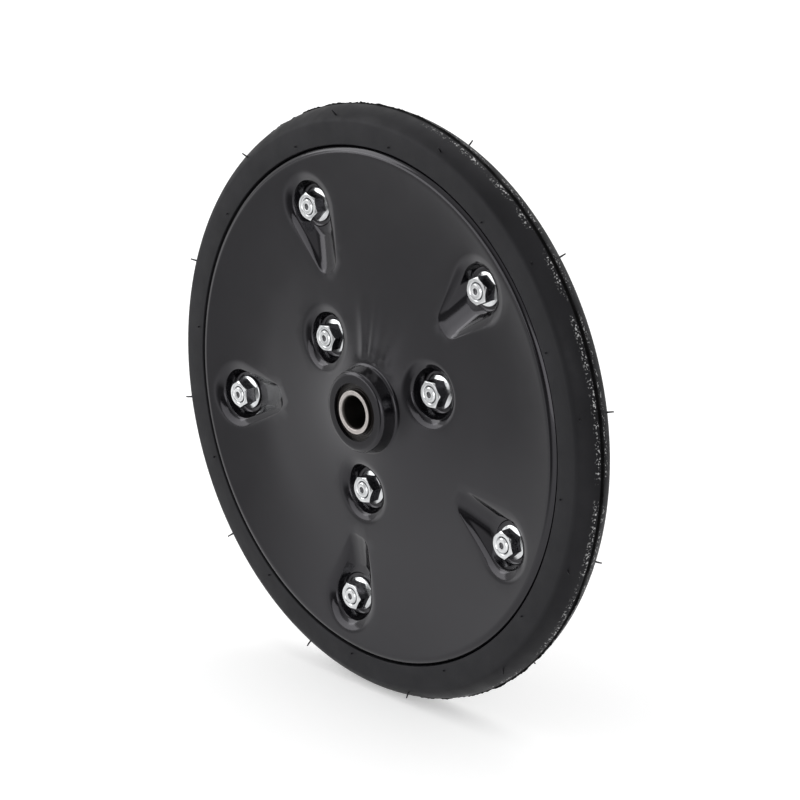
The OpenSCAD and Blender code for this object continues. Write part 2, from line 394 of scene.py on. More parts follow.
def raggedFlash(obj):
    # the flash is torn: its crest rises and falls round the tyre
    slack = 0.05
    crest = tyre["crownR"] + tyre["flashLift"] - slack
    for vertex in obj.data.vertices:
        radius = math.hypot(vertex.co.x, vertex.co.z) / mm
        if radius < crest:
            continue
        outward = Vector((vertex.co.x, 0, vertex.co.z)).normalized()
        tear = sum(share * noise.noise(outward * fineness) for fineness, share in tyre["tears"])
        lift = tyre["flashRagged"] * max(tyre["flashNotch"], tear)
        vertex.co += outward * lift * mm


def makeWhisker(length):
    # a thin rubber thread with cuts where it can bend, standing on +Z
    startFresh()
    bpy.ops.mesh.primitive_cone_add(
        vertices=vents["sides"], radius1=vents["rootR"] * mm, radius2=vents["tipR"] * mm,
        depth=length * mm, location=(0, 0, (length / 2 - vents["sink"]) * mm))
    obj = bpy.context.object
    bpy.ops.object.mode_set(mode="EDIT")
    for part in vents["bends"]:
        height = (length * part - vents["sink"]) * mm
        bpy.ops.mesh.select_all(action="SELECT")
        bpy.ops.mesh.bisect(plane_co=(0, 0, height), plane_no=(0, 0, 1))
    return settle(obj, "whisker")


def placeWhisker(source, angle, radius, height, tilt, wander):
    # the whisker leans from the axle's direction towards the crown by tilt
    radial = Vector((math.cos(angle), 0, math.sin(angle)))
    side = Vector((0, -1 if height > 0 else 1, 0))
    out = radial * math.sin(tilt) + side * math.cos(tilt)
    across = out.cross(radial.cross(side)).normalized()
    pickOnly(source)
    bpy.ops.object.duplicate()
    twin = bpy.context.object
    for vertex in twin.data.vertices:
        rise = max(vertex.co.z, 0) / mm
        vertex.co.x += wander[0] * rise * rise * mm
        vertex.co.y += wander[1] * rise * rise * mm
    twin.location = radial * radius * mm - Vector((0, height * mm, 0))
    frameAxes = Matrix((across, out.cross(across), out)).transposed()
    twin.rotation_euler = frameAxes.to_euler()
    return settle(twin, "whisker")


def makeTyre(material):
    body = spinProfile("tyre_body", tyreProfile(), tyre["spinSteps"])
    raggedFlash(body)
    sources = {"shoulder": makeWhisker(vents["length"]), "sidewall": makeWhisker(vents["stubLength"])}
    pieces = [body]
    step = fullTurn / vents["count"]
    spotX, spotY = vents["spotSteps"]
    for i in range(vents["count"]):
        for side in (1, -1):
            spot = Vector((i * spotX, side * spotY, vents["seed"]))
            spots = (spot, spot + Vector(vents["secondSeed"]))
            wander = [vents["wander"] * noise.noise(s) for s in spots]
            for root, source in sources.items():
                angle = math.radians(vents[root + "Phase"]) + i * step
                tilt = math.radians(vents[root + "Tilt"])
                radius, height = vents[root + "R"], side * vents[root + "H"]
                pieces.append(placeWhisker(source, angle, radius, height, tilt, wander))
    for source in sources.values():
        bpy.data.objects.remove(source)
    obj = joinPieces(pieces, "press_tyre")
    smoothByAngle(obj, tyre["smooth"])
    finishPiece(obj, "wheel", "tyre_rubber", material, "tyre")


# pressed halves
sheet = {
    "thickness": 2.0,
    "rimR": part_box("front_half")[1].x / mm,
    "lipFace": -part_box("front_half")[0].y / mm,
    "rimFace": 12.15,
    "valley": 8.4,          # lowest height of the dished face
    "hubRise": 4.6,
    "hubFall": 21.0,
    "rimTurn": 80.0,        # radius where the face starts to rise to the rim
    "rimMargin": 2.0,       # between the flat of the face and the rolled edge
    "edgeMid": 7.0,
    "edgeEnd": 5.0,
    "edgeRound": 4.0,
    "cupR": 22.05,
    "cupTopR": 21.0,
    "cupRound": 2.4,
    "cupFillet": 1.6,
    "hubMargin": 1.0,       # between the cup's fillet and the flat of the face
    "lipR": 15.0,
    "lipFlatR": 17.0,
    "boltR": 4.27,
    "faceStep": 4.5,        # spacing of the face's inner points
    "rowShare": 0.866,      # spacing of their rows, as a share of that
    "clear": 0.6,           # how far they keep from an edge, as a share of that
    "rimRays": 360,
    "hubRays": 120,
    "waver": 0.05,
    "waverSize": 34.0,
    "waverSeed": (3.3, 0, 8.1),
    "waverRim": (4, 12),    # distance from the rim where the waver ends, and its fade
    "waverHub": (26, 10),   # radius where the waver starts, and its fade
    "pleats": [             # degrees from +X, half width in degrees, height
        (98, 4.8, 0.5), (86, 4.6, 0.52), (66, 7.5, 0.6)],
    "pleatSpan": (25, 29, 36, 62),          # radii: start, full height, start of the fade, end
    "pleatSector": (40, 112),
    "pleatStep": 1.4,
    "smooth": 40,
}
rimPocket = {
    "circleR": 106.6,
    "floorR": 11.0,
    "floorRim": 2.4,        # outer part of the floor with its own ring of points
    "mouthR": 13.6,
    "floorH": 2.0,
    "rampStart": 12.0,
    "rampL": 33.2,
    "rampHalf": 6.8,
    "lipSpread": 0.22,      # how far the ramp's side lips spread at its end
    "lipRound": 1.9,
    "rampStep": 0.75,       # small wall at the end of the ramp
    "rampSpread": 2.2,
    "floorRound": 1.4,
    "dip": 1.5,             # soft sink of the face round the mouth
    "halo": 6.0,
    "haloSteps": (0.12, 0.26, 0.42, 0.6, 0.8, 1.0),
    "footSteps": 4,
    "wallSteps": 16,
    "lipSteps": 9,
    "rays": 128,
    "crowding": 0.8,        # more rays towards the ramp
    "corner": 5.8,
    "hubSide": 0.0,         # how much shallower the lip is towards the hub
}
hubPocket = dict(
    rimPocket, circleR=45.8, rampL=0.0, lipRound=2.0, dip=1.9, halo=5.6, rays=72, crowding=0.0,
    hubSide=0.45)
fasteners = {
    "rim": [f"rim_nut_{i}" for i in range(1, 6)],
    "hub": [f"hub_nut_{i}" for i in range(1, 4)],
}


def nodeCenter(node):
    low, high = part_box(node)
    return (low + high) / 2


def faceHeight(radius):
    # falls away from the hub, then rises again to the rolled edge
    outer = sheet["rimR"] - sheet["edgeRound"]
    inner = sheet["cupR"] + sheet["cupFillet"]
    rise = max(radius - sheet["rimTurn"], 0) / (outer - sheet["rimTurn"])
    hub = sheet["hubRise"] * math.exp(-max(radius - inner, 0) / sheet["hubFall"])
    return sheet["valley"] + hub + (sheet["rimFace"] - sheet["valley"]) * rise * rise


def pocketDepth(shape):
    return faceHeight(shape["circleR"]) - shape["floorH"]


def lipArc(bend, slope, endTurn, dip, mouthR):
    # arc that starts on a wall of this slope and ends nearly flat, dip below the face
    turn = math.atan(slope)
    startDrop = dip + bend * (math.cos(endTurn) - math.cos(turn))
    startX = mouthR - startDrop / slope
    return turn, startDrop, startX


def pocketRings(shape):
    # each ring is (bowl radius, ramp reach, drop below the face)
    depth = pocketDepth(shape)
    wall = depth / (shape["mouthR"] - shape["floorR"])
    endTurn = math.atan(2 * shape["dip"] / shape["halo"])
    bend = shape["lipRound"]
    turn, lipDrop, lipX = lipArc(bend, wall, endTurn, shape["dip"], shape["mouthR"])
    step = shape["rampStep"]

    def reach(drop):
        rampL = shape["rampL"]
        if rampL <= 0:
            return 0.0
        if drop >= step:
            return rampL - (rampL - shape["rampStart"]) * (drop - step) / (depth - step)
        return rampL + shape["rampSpread"] * (step - drop)

    rings = [(sheet["boltR"], 0.0, depth), (shape["floorR"] - shape["floorRim"], 0.0, depth)]
    foot = shape["floorRound"]
    footStart = shape["floorR"] - foot * math.tan(turn / 2)
    for i in range(shape["footSteps"] + 1):
        t = turn * i / shape["footSteps"]
        rings.append((footStart + foot * math.sin(t), 0.0, depth - foot * (1 - math.cos(t))))
    wallStart = rings[-1][2]
    for i in range(1, shape["wallSteps"]):
        drop = wallStart + (lipDrop - wallStart) * i / shape["wallSteps"]
        rings.append((shape["mouthR"] - drop / wall, reach(drop), drop))
    for i in range(shape["lipSteps"] + 1):
        t = turn + (endTurn - turn) * i / shape["lipSteps"]
        drop = lipDrop - bend * (math.cos(t) - math.cos(turn))
        rings.append((lipX + bend * (math.sin(turn) - math.sin(t)), reach(drop), drop))
    lastR = rings[-1][0]
    for share in shape["haloSteps"]:
        drop = shape["dip"] * (1 - share) ** 2
        rings.append((lastR + shape["halo"] * share, reach(drop), drop))
    return rings


def ringRadius(shape, ring, theta):
    # a teardrop: the bowl's circle, two straight sides and a blunt end with round corners
    r, reach, drop = ring
    if reach <= 0:
        return r
    flare = shape["mouthR"] - shape["floorR"]
    wallR = max(shape["mouthR"] - drop * flare / pocketDepth(shape), shape["floorR"])
    corner = shape["corner"]
    half = shape["rampHalf"] + shape["lipSpread"] * (r - wallR)
    center = Vector((reach - corner, half - corner))
    if center.length <= r - corner:
        return r
    theta = abs(math.atan2(math.sin(theta), math.cos(theta)))
    tangent = math.atan2(center.y, center.x) + math.acos((r - corner) / center.length)
    if theta >= tangent:
        return r
    touch = center + corner * Vector((math.cos(tangent), math.sin(tangent)))
    if theta >= math.atan2(touch.y, touch.x):
        return r / math.cos(tangent - theta)
    if theta <= math.atan2(center.y, reach):
        return reach / math.cos(theta)
    along = center.x * math.cos(theta) + center.y * math.sin(theta)
    return along + math.sqrt(max(corner ** 2 - center.length_squared + along ** 2, 0))


def ringPoint(shape, ring, theta):
    # in the pocket's own frame: the bolt at the origin, the hub towards +X
    radius = ringRadius(shape, ring, theta)
    x, z = radius * math.cos(theta), radius * math.sin(theta)
    face = faceHeight(math.hypot(shape["circleR"] - x, z))
    depth = pocketDepth(shape)
    drop, dip = ring[2], shape["dip"]
    lift = min(drop, dip * (depth - drop) / (depth - dip)) * shape["hubSide"]
    drop -= lift * max(math.cos(theta), 0) ** 2
    height = shape["floorH"] + (face - shape["floorH"]) * (1 - drop / depth)
    return Vector((x * mm, -height * mm, z * mm))


def rayTurn(shape, i):
    u = fullTurn * i / shape["rays"]
    return u - shape["crowding"] * math.sin(u)


def makePocket(shape, name):
    # a circle at the bolt hole, extruded ring by ring up the wall and over the lip
    rings = pocketRings(shape)
    startFresh()
    bpy.ops.mesh.primitive_circle_add(
        vertices=shape["rays"], radius=sheet["boltR"] * mm, rotation=(math.pi / 2, 0, 0))
    obj = settle(bpy.context.object, name)
    for i, vertex in enumerate(obj.data.vertices):
        vertex.co = ringPoint(shape, rings[0], rayTurn(shape, i))
    bpy.ops.object.mode_set(mode="EDIT")
    bpy.ops.mesh.select_all(action="SELECT")
    for ring in rings[1:]:
        bpy.ops.mesh.extrude_region_move()
        live = bmesh.from_edit_mesh(obj.data)
        for vertex in live.verts:
            if vertex.select:
                vertex.co = ringPoint(shape, ring, math.atan2(vertex.co.z, vertex.co.x))
        bmesh.update_edit_mesh(obj.data)
    bpy.ops.object.mode_set(mode="OBJECT")
    return obj


def pocketPlace(node):
    # turn and place that carry a pocket from its own frame to its fastener
    center = nodeCenter(node)
    angle = math.atan2(center.z, center.x)
    return math.pi - angle, Vector((center.x, 0, center.z))


def pocketRim(shape, node):
    # the pocket's last ring in the wheel's frame
    turn, place = pocketPlace(node)
    ring = pocketRings(shape)[-1]
    spin = Matrix.Rotation(turn, 4, "Y")
    return [spin @ ringPoint(shape, ring, rayTurn(shape, i)) + place for i in range(shape["rays"])]


def insideOutline(point, outline):
    inside = False
    for a, b in zip(outline, outline[1:] + outline[:1]):
        if (a.y > point.y) != (b.y > point.y):
            if point.x < (b.x - a.x) * (point.y - a.y) / (b.y - a.y) + a.x:
                inside = not inside
    return inside


def makeFace(hubR, rimR, outlines):
    # the flat of the face: a mesh between the hub, the rim and the pockets
    def circle(radius, count):
        turns = [fullTurn * i / count for i in range(count)]
        return [Vector((radius * math.cos(t), radius * math.sin(t))) for t in turns]

    def spotKey(point):
        return round(point.x, 3), round(point.y, 3)

    plans = [[Vector((p.x / mm, p.z / mm)) for p in outline] for outline in outlines]
    loops = [circle(hubR, sheet["hubRays"]), circle(rimR, sheet["rimRays"])] + plans
    points, edges = [], []
    for loop in loops:
        first = len(points)
        points += loop
        edges += [(first + i, first + (i + 1) % len(loop)) for i in range(len(loop))]
    low, high = sheet["pleatSector"]
    pleatEnd = sheet["pleatSpan"][-1]

    def fill(step, pleated):
        # rows of points, either on the pleats or on the rest of the face
        rowShare, clear = sheet["rowShare"], sheet["clear"] * step
        rows = int(rimR / (step * rowShare)) + 1
        for row in range(-rows, rows + 1):
            for column in range(-rows, rows + 1):
                spot = Vector(((column + 0.5 * (row % 2)) * step, row * step * rowShare))
                if not hubR + clear < spot.length < rimR - clear:
                    continue
                turn = math.degrees(math.atan2(spot.y, spot.x))
                if pleated != (low < turn < high and spot.length < pleatEnd):
                    continue
                near = min((spot - p).length for plan in plans for p in plan[::3])
                if near > clear and not any(insideOutline(spot, plan) for plan in plans):
                    points.append(spot)

    fill(sheet["faceStep"], False)
    fill(sheet["pleatStep"], True)
    flat = geometry.delaunay_2d_cdt(points, edges, [], 0, 1e-7)
    heights = {}
    for plan, outline in zip(plans, outlines):
        for p, point in zip(plan, outline):
            heights[spotKey(p)] = point.y
    verts = []
    for p in flat[0]:
        level = heights.get(spotKey(p), -faceHeight(p.length) * mm)
        verts.append((p.x * mm, level, p.y * mm))
    faces = []
    for face in flat[2]:
        middle = sum((flat[0][i] for i in face), Vector((0, 0))) / len(face)
        if middle.length > hubR and not any(insideOutline(middle, plan) for plan in plans):
            faces.append(face)
    mesh = bpy.data.meshes.new("face")
    mesh.from_pydata(verts, [], faces)
    obj = bpy.data.objects.new("face", mesh)
    bpy.context.scene.collection.objects.link(obj)
    return obj


def pleatLift(x, z):
    # the metal is drawn in faint rays above the hub
    start, full, fade, end = sheet["pleatSpan"]
    radius = math.hypot(x, z)
    turn = math.degrees(math.atan2(z, x))
    share = asShare((radius - start) / (full - start)) * asShare((end - radius) / (end - fade))
    rises = [rise * math.exp(-((turn - middle) / half) ** 2) for middle, half, rise in sheet["pleats"]]
    return share * sum(rises)


def waverSheet(obj):
    # a pressing is never quite flat
    rimGap, rimFade = sheet["waverRim"]
    hubStart, hubFade = sheet["waverHub"]
    shift = Vector(sheet["waverSeed"])
    for vertex in obj.data.vertices:
        radius = math.hypot(vertex.co.x, vertex.co.z) / mm
        spot = vertex.co / (sheet["waverSize"] * mm)
        fade = asShare((sheet["rimR"] - rimGap - radius) / rimFade)
        fade *= asShare((radius - hubStart) / hubFade)
        vertex.co.y += sheet["waver"] * noise.noise(spot + shift) * fade * mm
        vertex.co.y -= pleatLift(vertex.co.x / mm, vertex.co.z / mm) * mm


def makeHalf():
    cupStart = sheet["cupR"] + sheet["cupFillet"]
    hubR = cupStart + sheet["hubMargin"]
    lip, cupRound, edgeRound = sheet["lipFace"], sheet["cupRound"], sheet["edgeRound"]
    shoulder = (sheet["cupTopR"] - cupRound, lip - cupRound)
    fillet = (cupStart, faceHeight(cupStart) + sheet["cupFillet"])
    cup = [(sheet["lipR"], lip), (sheet["lipFlatR"], lip)]
    cup += arcPoints(shoulder, cupRound, 90, 0, 8)
    cup += arcPoints(fillet, sheet["cupFillet"], 180, 270, 6)
    cup += [(hubR, faceHeight(hubR))]
    edge = (sheet["rimR"] - edgeRound, sheet["rimFace"] - edgeRound)
    rimStart = edge[0] - sheet["rimMargin"]
    rim = [(rimStart, faceHeight(rimStart))] + arcPoints(edge, edgeRound, 100, 0, 11)
    rim += [(sheet["rimR"], sheet["edgeMid"]), (sheet["rimR"], sheet["edgeEnd"])]
    pieces = [spinProfile("cup", cup, sheet["hubRays"]), spinProfile("edge", rim, sheet["rimRays"])]
    outlines = []
    for shape, nodes in ((rimPocket, fasteners["rim"]), (hubPocket, fasteners["hub"])):
        pocket = makePocket(shape, "pocket")
        for node in nodes:
            pieces.append(copyPiece(pocket, "pocket_" + node, *pocketPlace(node)))
            outlines.append(pocketRim(shape, node))
        bpy.data.objects.remove(pocket)
    pieces.append(makeFace(hubR, rimStart, outlines))
    obj = joinPieces(pieces, "front_pressing")
    tidyMesh(obj)
    if sum(p.normal.y * p.area for p in obj.data.polygons) > 0:
        obj.data.flip_normals()
    waverSheet(obj)
    useModifier(obj, "SOLIDIFY", thickness=sheet["thickness"] * mm, offset=-1.0)
    return obj


def makeHalves(material):
    front = makeHalf()
    rear = mirrorPiece(front, "rear_pressing")
    for half, node in ((front, "front_half"), (rear, "rear_half")):
        smoothByAngle(half, sheet["smooth"])
        finishPiece(half, "wheel", "black_paint", material, node)


# flange nuts and bolts
flangeNut = {
    "flats": 12.7,
    "height": 8.0,
    "base": 2.0,            # height of the pocket's floor
    "flangeR": 8.8,
    "flangeEdge": 1.2,
    "flangeRise": 1.6,
    "flangeFoot": 0.3,      # how far the flange's underside stops short of its edge
    "flangeSeat": 0.1,      # how far the flange's cone runs into the hexagon
    "boreR": 4.3,
    "sinkR": 4.8,           # countersink at the top
    "bevelAngle": 30,
    "facingIn": (0.15, 0.6),    # how far inside the flats the turned cone ends
    "facingOver": 0.02,
    "mergeGap": 0.01,
    "edgeBevel": 0.12,
    "bevelLimit": 24,
    "smooth": 30,
    "steps": 96,
}
flangeBolt = {
    "headHeight": 7.2,
    "dishR": 4.6,
    "dishDepth": 0.45,
    "dishMid": (0.7, 0.8),      # shares of the dish's radius and depth where its side starts
    "dishOver": 0.05,
    "shankR": 3.94,
    "proud": 0.55,
    "tipBevel": 0.6,
    "dimpleR": 1.7,
    "dimpleDepth": 0.9,
    "dimpleMid": 0.9,           # share of the recess's radius and depth where its floor starts
    "shadeShare": 0.98,          # painted shade in the recess at the tip: share of its radius, and depth
    "shadeDepth": 1.2,
    "turnRatio": -2.3,          # a bolt's turn for its nut's
}
nutTurns = {
    "rim_nut_1": 30, "rim_nut_2": -10, "rim_nut_3": 4, "rim_nut_4": -15, "rim_nut_5": -3,
    "hub_nut_1": 20, "hub_nut_2": 27, "hub_nut_3": 22,
}


def makeHexagon(height):
    # a hexagon whose top corners are turned off by a cone; its base is at height zero
    flat = flangeNut["flats"] / 2
    cornerR = flangeNut["flats"] / math.sqrt(3)
    slope = math.tan(math.radians(flangeNut["bevelAngle"]))
    turned = height - (cornerR - flat) * slope
    startFresh()
    bpy.ops.mesh.primitive_cylinder_add(
        vertices=6, radius=cornerR * mm, depth=height * mm, location=(0, -height / 2 * mm, 0),
        rotation=(math.pi / 2, 0, 0))
    hexagon = settle(bpy.context.object, "hexagon")
    coneEnd, topEnd = (flat - inside for inside in flangeNut["facingIn"])
    profile = [(0, -cutOver), (cornerR + cutOver, -cutOver), (cornerR + cutOver, turned - cutOver * slope)]
    profile += [(coneEnd, height + flangeNut["facingOver"])]
    profile += [(topEnd, height + cutOver), (0, height + cutOver)]
    joinSolids(hexagon, spinProfile("turning", profile, flangeNut["steps"]), "INTERSECT")
    return hexagon


def softenEdges(obj):
    tidyMesh(obj, flangeNut["mergeGap"])
    useModifier(obj, "BEVEL", width=flangeNut["edgeBevel"] * mm, segments=2, limit_method="ANGLE",
                angle_limit=math.radians(flangeNut["bevelLimit"]), use_clamp_overlap=True)
    smoothByAngle(obj, flangeNut["smooth"])


def makeFlanged(height):
    # a hexagon on its flange
    nut = flangeNut
    obj = makeHexagon(height)
    half = nut["flangeEdge"] / 2
    profile = [(0, 0), (nut["flangeR"] - nut["flangeFoot"], 0)]
    profile += arcPoints((nut["flangeR"] - half, half), half, -60, 60, 6)
    profile += [(nut["flats"] / 2 - nut["flangeSeat"], nut["flangeRise"]), (0, nut["flangeRise"])]
    joinSolids(obj, spinProfile("flange", profile, nut["steps"]), "UNION")
    return obj


def makeNut():
    nut = flangeNut
    top, boreR = nut["height"], nut["boreR"]
    obj = makeFlanged(top)
    bore = [(0, -cutOver), (boreR, -cutOver), (boreR, top - (nut["sinkR"] - boreR))]
    bore += [(nut["sinkR"] + cutOver, top + cutOver), (0, top + cutOver)]
    joinSolids(obj, spinProfile("bore", bore, nut["steps"] // 2), "DIFFERENCE")
    softenEdges(obj)
    obj.data.transform(Matrix.Translation((0, -nut["base"] * mm, 0)))
    return obj


def makeBolt():
    # the head sits on the rear pocket's floor, the tip stands out of the nut at the front
    bolt = flangeBolt
    top, dishR, dishDepth = bolt["headHeight"], bolt["dishR"], bolt["dishDepth"]
    obj = makeFlanged(top)
    midR, midDepth = bolt["dishMid"]
    dish = [(0, top - dishDepth), (dishR * midR, top - dishDepth * midDepth)]
    dish += [(dishR, top + bolt["dishOver"]), (dishR, top + cutOver), (0, top + cutOver)]
    joinSolids(obj, spinProfile("dish", dish, flangeNut["steps"] // 2), "DIFFERENCE")
    length = 2 * flangeNut["base"] + flangeNut["height"] + bolt["proud"]
    tip = -length
    shankR, bevel = bolt["shankR"], bolt["tipBevel"]
    dimpleR, dimpleDepth, mid = bolt["dimpleR"], bolt["dimpleDepth"], bolt["dimpleMid"]
    shank = [(0, cutOver), (shankR, cutOver), (shankR, tip + bevel), (shankR - bevel, tip)]
    shank += [(dimpleR, tip), (dimpleR * mid, tip + dimpleDepth * mid), (0, tip + dimpleDepth)]
    joinSolids(obj, spinProfile("shank", shank, flangeNut["steps"] // 2), "UNION")
    softenEdges(obj)
    # marks the recess at the tip, which the zinc finish paints dark as shade
    recessShade = obj.data.attributes.new("recessShade", "FLOAT", "POINT")
    for vertex, value in zip(obj.data.vertices, recessShade.data):
        inRecess = math.hypot(vertex.co.x, vertex.co.z) < bolt["shadeShare"] * dimpleR * mm
        atTip = vertex.co.y > (length - bolt["shadeDepth"]) * mm
        value.value = 1.0 if inRecess and atTip else 0.0
    obj.data.transform(Matrix.Translation((0, -flangeNut["base"] * mm, 0)))
    obj.data.transform(Matrix.Rotation(math.pi, 4, "X"))
    return obj


def makeFasteners(material):
    nut = makeNut()
    bolt = makeBolt()
    for node in fasteners["rim"] + fasteners["hub"]:
        center = nodeCenter(node)
        place = (center.x, 0, center.z)
        boltNode = node.replace("nut", "bolt")
        twin = copyPiece(nut, "flange_" + node, math.radians(nutTurns[node]), place)
        finishPiece(twin, "wheel", "zinc_plate", material, node)
        boltTurn = math.radians(flangeBolt["turnRatio"] * nutTurns[node])
        twin = copyPiece(bolt, "flange_" + boltNode, boltTurn, place)
        finishPiece(twin, "wheel", "zinc_plate", material, boltNode)
    bpy.data.objects.remove(nut)
    bpy.data.objects.remove(bolt)


# bearing parts that show
lipSeal = {
    "innerR": 11.46,
    "outerR": 17.24,
    "back": 18.35,
    "front": 19.35,
    "ribs": 3,
    "ribRise": 0.28,
    "ribStart": 12.6,
    "ribPitch": 0.95,
    "ribSteps": (0.18, 0.42, 0.6),      # from a rib's inner foot to its top, across it and down
    "lipRise": 0.75,
    "lipSteps": (0.45, 0.75),           # from the lip's inner edge across its top and down
    "smooth": 40,
    "steps": 144,
}
innerRing = {
    "boreR": 8.13,
    "neckR": 11.375,
    "shoulderR": 12.175,
    "face": 22.05,
    "back": 7.7,
    "middle": 13.7,
    "shoulderHalf": 4.35,
    "boreRound": 1.5,
    "outerRound": 0.45,
    "trackR": 3.51,
    "trackBottom": 10.825,
    "smooth": 30,
    "steps": 192,
}


def sealProfile():
    seal = lipSeal
    innerR, outerR, front = seal["innerR"], seal["outerR"], seal["front"]
    lipTop, ribTop = front + seal["lipRise"], front + seal["ribRise"]
    acrossLip, lipFoot = seal["lipSteps"]
    points = [(innerR, seal["back"]), (innerR, lipTop)]
    points += [(innerR + acrossLip, lipTop), (innerR + lipFoot, front)]
    up, across, down = seal["ribSteps"]
    for i in range(seal["ribs"]):
        r = seal["ribStart"] + i * seal["ribPitch"]
        points += [(r, front), (r + up, ribTop), (r + across, ribTop), (r + down, front)]
    points += [(outerR, front), (outerR, seal["back"]), points[0]]
    return points


def ringProfile():
    ring = innerRing
    low = ring["middle"] - ring["shoulderHalf"]
    high = ring["middle"] + ring["shoulderHalf"]
    centerR = ring["trackBottom"] + ring["trackR"]
    half = math.degrees(math.acos((centerR - ring["shoulderR"]) / ring["trackR"]))
    points = [(ring["boreR"], ring["back"]), (ring["neckR"], ring["back"]), (ring["neckR"], low)]
    points += [(ring["shoulderR"], low)]
    points += arcPoints((centerR, ring["middle"]), ring["trackR"], 180 + half, 180 - half, 10)
    points += [(ring["shoulderR"], high), (ring["neckR"], high)]
    outer = ring["outerRound"]
    points += arcPoints((ring["neckR"] - outer, ring["face"] - outer), outer, 0, 90, 4)
    bore = ring["boreRound"]
    points += arcPoints((ring["boreR"] + bore, ring["face"] - bore), bore, 90, 180, 6)
    return points + [points[0]]


def makeBearingFaces(sealMaterial, steelMaterial):
    frontSeal = spinProfile("front_lip_seal", sealProfile(), lipSeal["steps"])
    frontRing = spinProfile("front_bore_ring", ringProfile(), innerRing["steps"])
    rearSeal = mirrorPiece(frontSeal, "rear_lip_seal")
    rearRing = mirrorPiece(frontRing, "rear_bore_ring")
    for side, seal, ring in (("front", frontSeal, frontRing), ("rear", rearSeal, rearRing)):
        smoothByAngle(seal, lipSeal["smooth"])
        smoothByAngle(ring, innerRing["smooth"])
        finishPiece(seal, "wheel", "seal_rubber", sealMaterial, side + "_outer_seal")
        finishPiece(ring, "axle_stack", "bearing_steel", steelMaterial, side + "_inner_ring")


# finishes; their distances are in metres, as Object coordinates are
rubberLook = {
    "clouds": 38.0,
    "cloudSpan": (0.3, 0.75),
    "colors": ((0.006, 0.006, 0.0068), (0.0115, 0.0113, 0.0128)),
    "flank": (0.0104, 0.0112),          # from the middle plane, where the sidewall turns paler
    "flankShare": 0.2,
    "flankColor": (0.03, 0.03, 0.033),
    "joint": (0.001, 0.0014),           # from the middle plane, where the joint's dark line ends
    "jointColor": 0.002,
    "fleckIn": (0.0012, 0.0019),        # pale flecks fade in beside the joint, then out
    "fleckOut": (0.0024, 0.0046),
    "fleckSide": (0.02, 0.07),
    "clumps": (60.0, 0.38, 0.5),        # scale of the noise, and the span of it that shows
    "specks": (900.0, 0.57, 0.63),
    "fleckColor": 0.52,
    "gloss": (0.165, 0.195),            # of the tread and of the sidewall
    "jointGloss": 0.25,
    "tint": (0.96, 0.95, 1.0, 1.0),
    "wear": 90.0,
    "wearSpan": (0.3, 0.7),
    "rough": (0.42, 0.6),
    "grain": 1100.0,
    "grainBump": (0.00012, 0.35),
}
paintLook = {
    "gloss": 0.46,
    "tint": (0.95, 0.93, 1.0, 1.0),
    "clouds": 16.0,
    "cloudSpan": (0.35, 0.7),
    "colors": ((0.0022, 0.0021, 0.0027), (0.0042, 0.004, 0.005)),
    "wear": 55.0,
    "wearSpan": (0.3, 0.75),
    "rough": (0.09, 0.17),
    "peel": 320.0,
    "peelBump": (0.000011, 0.7),
}
metalLook = {
    "metallic": 1.0,
    "cloudDetail": 4.0,
    "cloudSpan": (0.3, 0.65),
    "darkShare": 0.86,
    "roughSpan": (0.25, 0.75),
    "roughShares": (0.75, 1.35),
    "grainDetail": 3.0,
    "grainBump": (0.00003, 0.25),
}
dullLook = {
    "metallic": 0.0,
    "cloudDetail": 3.0,
    "cloudSpan": (0.3, 0.7),
    "darkShare": 0.7,
    "roughSpan": (0.25, 0.75),
    "roughShares": (0.85, 1.1),
    "grainDetail": 2.0,
    "grainBump": (0.00003, 0.2),
}
boreLook = {
    "innerEdge": (0.0086, 0.0096),      # radii between which the bore's painted shade gives way to the bright face
    # radii between which the bright face gives way to painted shade at the ring's outer edge, beside the seal
    "outerEdge": (0.0109, 0.01125),
    # the colour of the painted shade in the bore and at the outer edge
    "boreShadeColor": (0.03, 0.027, 0.025),
    "rough": (0.5, 0.22),               # of the bore and of the face
}


def cloudStops(look):
    # the stops of a finish's cloudy base colour
    return list(zip(look["cloudSpan"], look["colors"]))


